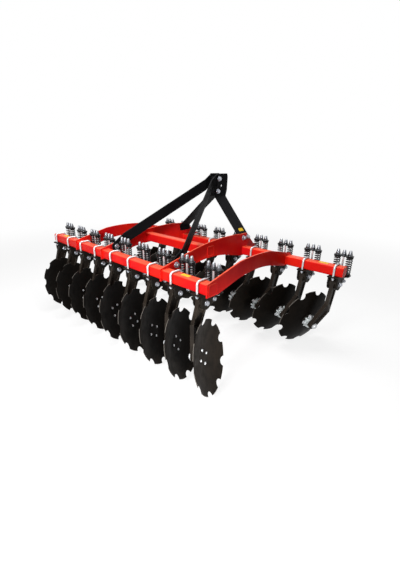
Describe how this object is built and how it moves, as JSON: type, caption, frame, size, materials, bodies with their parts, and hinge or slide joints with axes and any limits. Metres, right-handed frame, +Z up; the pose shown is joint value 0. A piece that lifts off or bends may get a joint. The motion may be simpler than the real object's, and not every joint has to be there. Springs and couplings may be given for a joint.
{
  "type": "mounted disc harrow",
  "caption": "Tractor-mounted compact disc harrow: two offset beams of notched discs on sprung arms, joined by arch plates under a three-point mast.",
  "frame": {"origin": "on the ground, under the middle of the machine's bounding box", "axes": "+X to the machine's right, +Y forward to the tractor, +Z up"},
  "size_m": [2.75, 1.6346, 1.367],
  "materials": {
    "red_paint": "gloss powder coat, bright red",
    "black_paint": "satin black powder coat",
    "arm_paint": "dark brown-black dipped forging",
    "bracket_paint": "satin black",
    "disc_steel": "dark heat-treated and lacquered steel",
    "zinc": "bright zinc plate",
    "zinc_hub": "bright zinc plate",
    "spring_steel": "black lacquered spring wire"
  },
  "bodies": {
    "frame": {"front_beam": "red_paint", "front_arms": "arm_paint", "front_brackets": "bracket_paint", "front_u_bolts": "zinc", "front_springs": "spring_steel", "front_spring_rods": "zinc", "front_spring_plates": "bracket_paint", "rear_beam": "red_paint", "rear_arms": "arm_paint", "rear_brackets": "bracket_paint", "rear_u_bolts": "zinc", "rear_springs": "spring_steel", "rear_spring_rods": "zinc", "rear_spring_plates": "bracket_paint", "middle_beam": "red_paint", "left_inner_plate": "red_paint", "left_outer_plate": "red_paint", "mast_left_plate": "black_paint", "mast_left_brace": "black_paint", "right_inner_plate": "red_paint", "right_outer_plate": "red_paint", "mast_right_plate": "black_paint", "mast_right_brace": "black_paint", "mast_ties": "black_paint"},
    "front_disc_1": {"front_blade_1": "disc_steel", "front_hub_1": "zinc_hub"},
    "front_disc_2": {"front_blade_2": "disc_steel", "front_hub_2": "zinc_hub"},
    "front_disc_3": {"front_blade_3": "disc_steel", "front_hub_3": "zinc_hub"},
    "front_disc_4": {"front_blade_4": "disc_steel", "front_hub_4": "zinc_hub"},
    "front_disc_5": {"front_blade_5": "disc_steel", "front_hub_5": "zinc_hub"},
    "front_disc_6": {"front_blade_6": "disc_steel", "front_hub_6": "zinc_hub"},
    "front_disc_7": {"front_blade_7": "disc_steel", "front_hub_7": "zinc_hub"},
    "front_disc_8": {"front_blade_8": "disc_steel", "front_hub_8": "zinc_hub"},
    "front_disc_9": {"front_blade_9": "disc_steel", "front_hub_9": "zinc_hub"},
    "rear_disc_1": {"rear_blade_1": "disc_steel", "rear_hub_1": "zinc_hub"},
    "rear_disc_2": {"rear_blade_2": "disc_steel", "rear_hub_2": "zinc_hub"},
    "rear_disc_3": {"rear_blade_3": "disc_steel", "rear_hub_3": "zinc_hub"},
    "rear_disc_4": {"rear_blade_4": "disc_steel", "rear_hub_4": "zinc_hub"},
    "rear_disc_5": {"rear_blade_5": "disc_steel", "rear_hub_5": "zinc_hub"},
    "rear_disc_6": {"rear_blade_6": "disc_steel", "rear_hub_6": "zinc_hub"},
    "rear_disc_7": {"rear_blade_7": "disc_steel", "rear_hub_7": "zinc_hub"},
    "rear_disc_8": {"rear_blade_8": "disc_steel", "rear_hub_8": "zinc_hub"},
    "rear_disc_9": {"rear_blade_9": "disc_steel", "rear_hub_9": "zinc_hub"}
  },
  "joints": [
    {"name": "front_disc_1_spin", "type": "hinge", "parent": "frame", "child": "front_disc_1", "pos_m": [-0.953, 0.43927, 0.24897], "axis": [-0.9078, 0.3485, 0.2334], "continuous": true},
    {"name": "front_disc_2_spin", "type": "hinge", "parent": "frame", "child": "front_disc_2", "pos_m": [-0.693, 0.43927, 0.24897], "axis": [-0.9078, 0.3485, 0.2334], "continuous": true},
    {"name": "front_disc_3_spin", "type": "hinge", "parent": "frame", "child": "front_disc_3", "pos_m": [-0.433, 0.43927, 0.24897], "axis": [-0.9078, 0.3485, 0.2334], "continuous": true},
    {"name": "front_disc_4_spin", "type": "hinge", "parent": "frame", "child": "front_disc_4", "pos_m": [-0.173, 0.43927, 0.24897], "axis": [-0.9078, 0.3485, 0.2334], "continuous": true},
    {"name": "front_disc_5_spin", "type": "hinge", "parent": "frame", "child": "front_disc_5", "pos_m": [0.087, 0.43927, 0.24897], "axis": [-0.9078, 0.3485, 0.2334], "continuous": true},
    {"name": "front_disc_6_spin", "type": "hinge", "parent": "frame", "child": "front_disc_6", "pos_m": [0.347, 0.43927, 0.24897], "axis": [-0.9078, 0.3485, 0.2334], "continuous": true},
    {"name": "front_disc_7_spin", "type": "hinge", "parent": "frame", "child": "front_disc_7", "pos_m": [0.607, 0.43927, 0.24897], "axis": [-0.9078, 0.3485, 0.2334], "continuous": true},
    {"name": "front_disc_8_spin", "type": "hinge", "parent": "frame", "child": "front_disc_8", "pos_m": [0.867, 0.43927, 0.24897], "axis": [-0.9078, 0.3485, 0.2334], "continuous": true},
    {"name": "front_disc_9_spin", "type": "hinge", "parent": "frame", "child": "front_disc_9", "pos_m": [1.127, 0.43927, 0.24897], "axis": [-0.9078, 0.3485, 0.2334], "continuous": true},
    {"name": "rear_disc_1_spin", "type": "hinge", "parent": "frame", "child": "rear_disc_1", "pos_m": [-1.127, -0.57673, 0.24897], "axis": [0.9078, 0.3485, 0.2334], "continuous": true},
    {"name": "rear_disc_2_spin", "type": "hinge", "parent": "frame", "child": "rear_disc_2", "pos_m": [-0.867, -0.57673, 0.24897], "axis": [0.9078, 0.3485, 0.2334], "continuous": true},
    {"name": "rear_disc_3_spin", "type": "hinge", "parent": "frame", "child": "rear_disc_3", "pos_m": [-0.607, -0.57673, 0.24897], "axis": [0.9078, 0.3485, 0.2334], "continuous": true},
    {"name": "rear_disc_4_spin", "type": "hinge", "parent": "frame", "child": "rear_disc_4", "pos_m": [-0.347, -0.57673, 0.24897], "axis": [0.9078, 0.3485, 0.2334], "continuous": true},
    {"name": "rear_disc_5_spin", "type": "hinge", "parent": "frame", "child": "rear_disc_5", "pos_m": [-0.087, -0.57673, 0.24897], "axis": [0.9078, 0.3485, 0.2334], "continuous": true},
    {"name": "rear_disc_6_spin", "type": "hinge", "parent": "frame", "child": "rear_disc_6", "pos_m": [0.173, -0.57673, 0.24897], "axis": [0.9078, 0.3485, 0.2334], "continuous": true},
    {"name": "rear_disc_7_spin", "type": "hinge", "parent": "frame", "child": "rear_disc_7", "pos_m": [0.433, -0.57673, 0.24897], "axis": [0.9078, 0.3485, 0.2334], "continuous": true},
    {"name": "rear_disc_8_spin", "type": "hinge", "parent": "frame", "child": "rear_disc_8", "pos_m": [0.693, -0.57673, 0.24897], "axis": [0.9078, 0.3485, 0.2334], "continuous": true},
    {"name": "rear_disc_9_spin", "type": "hinge", "parent": "frame", "child": "rear_disc_9", "pos_m": [0.953, -0.57673, 0.24897], "axis": [0.9078, 0.3485, 0.2334], "continuous": true}
  ]
}
